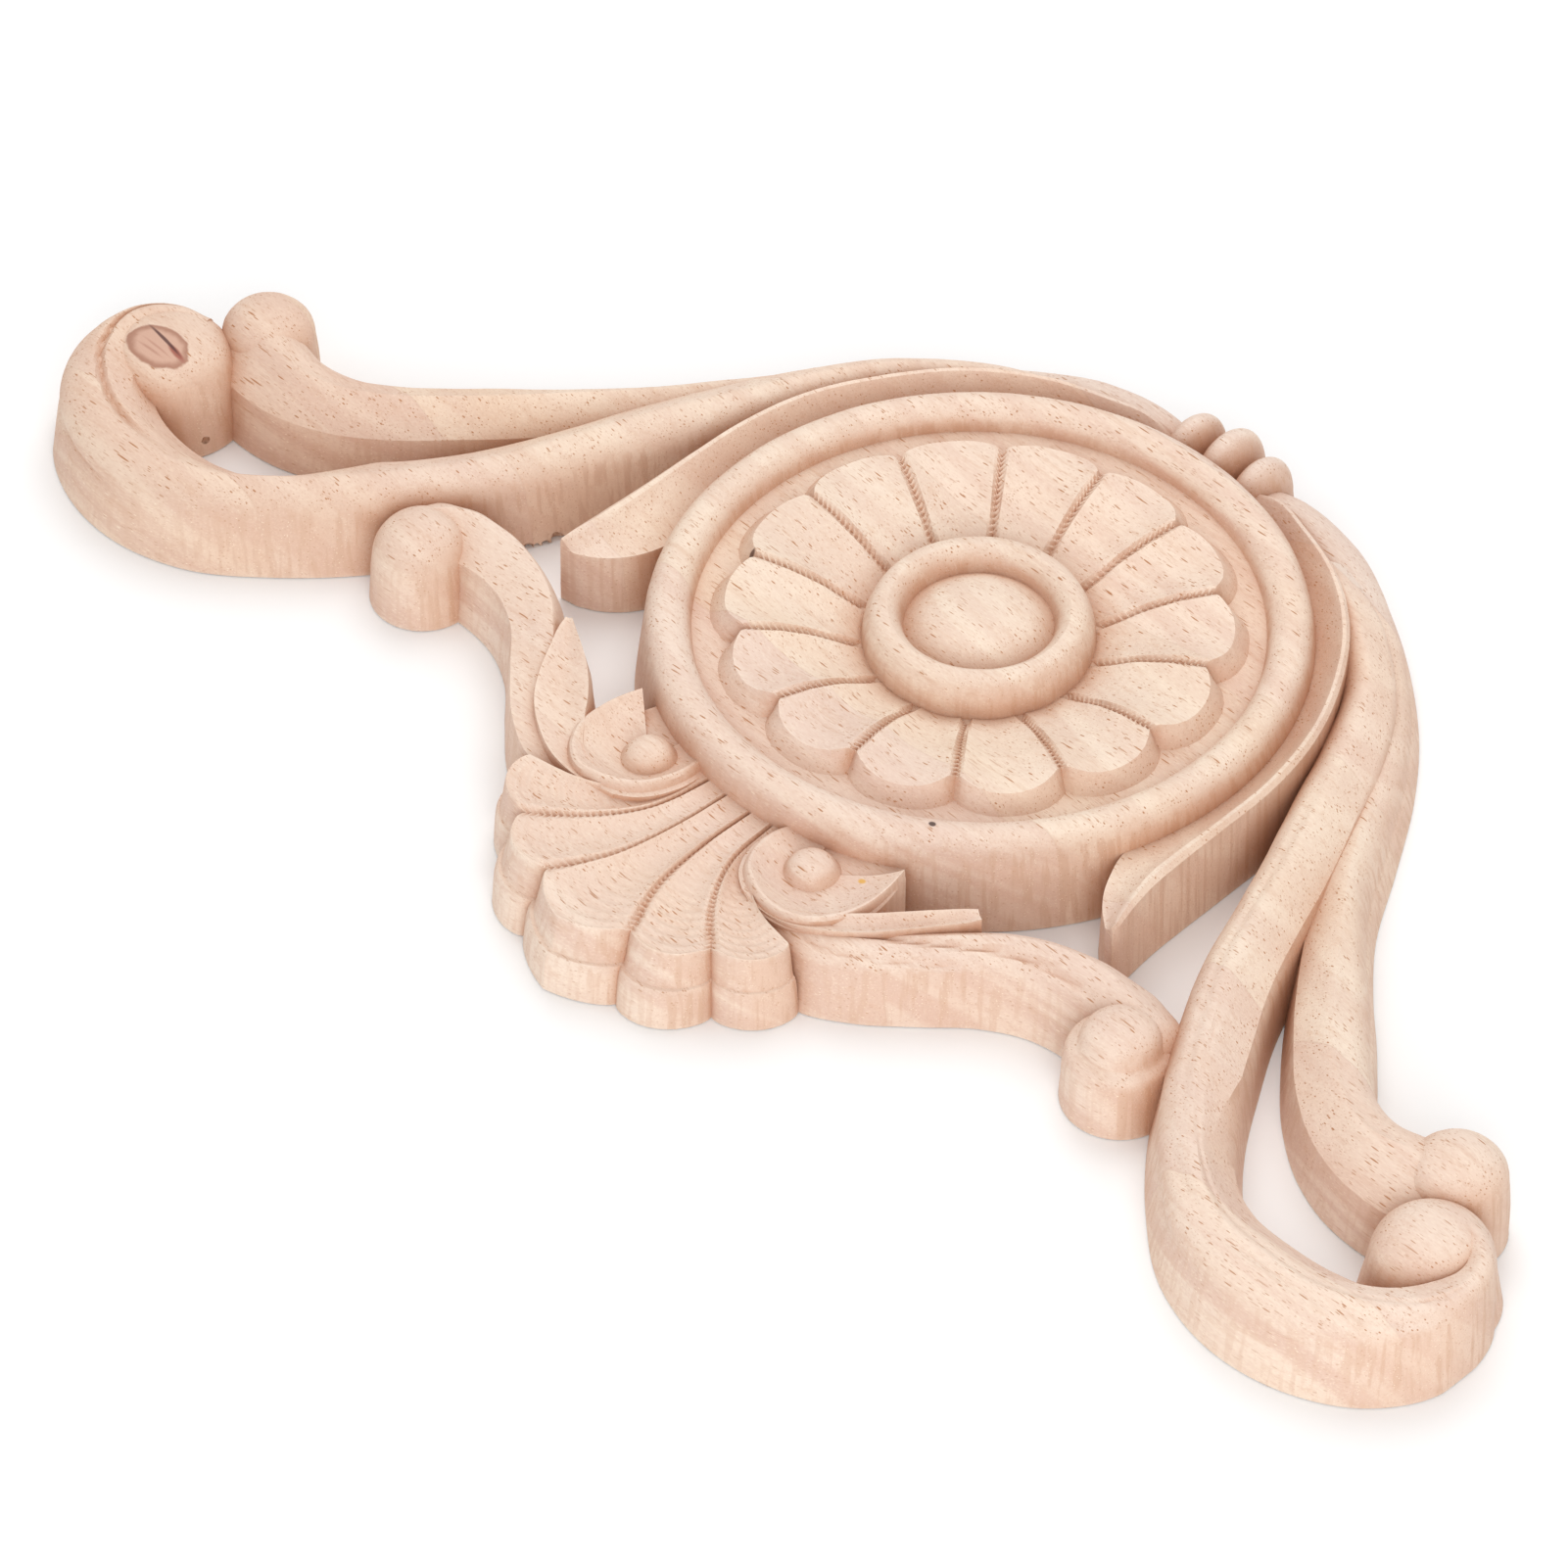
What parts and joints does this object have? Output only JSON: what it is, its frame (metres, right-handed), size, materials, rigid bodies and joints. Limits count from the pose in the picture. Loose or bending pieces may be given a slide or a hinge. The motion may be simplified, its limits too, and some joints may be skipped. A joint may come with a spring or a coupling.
{
  "type": "carved wood applique",
  "caption": "Carved wooden applique for furniture or a wall: a petalled disc with a raised rim, a fanned shell below it and a scrolled arm on each side, on a flat back.",
  "frame": {"origin": "on the flat back, under the middle of the disc", "axes": "+Z out of the carved face, +X along the grain to one of the two arms, +Y towards the three beads at the top"},
  "size_m": [0.298, 0.1586, 0.0174],
  "materials": {
    "rubberwood": "bare sanded wood, unfinished and matt"
  },
  "bodies": {
    "root": {"carved_applique": "rubberwood"}
  },
  "joints": []
}
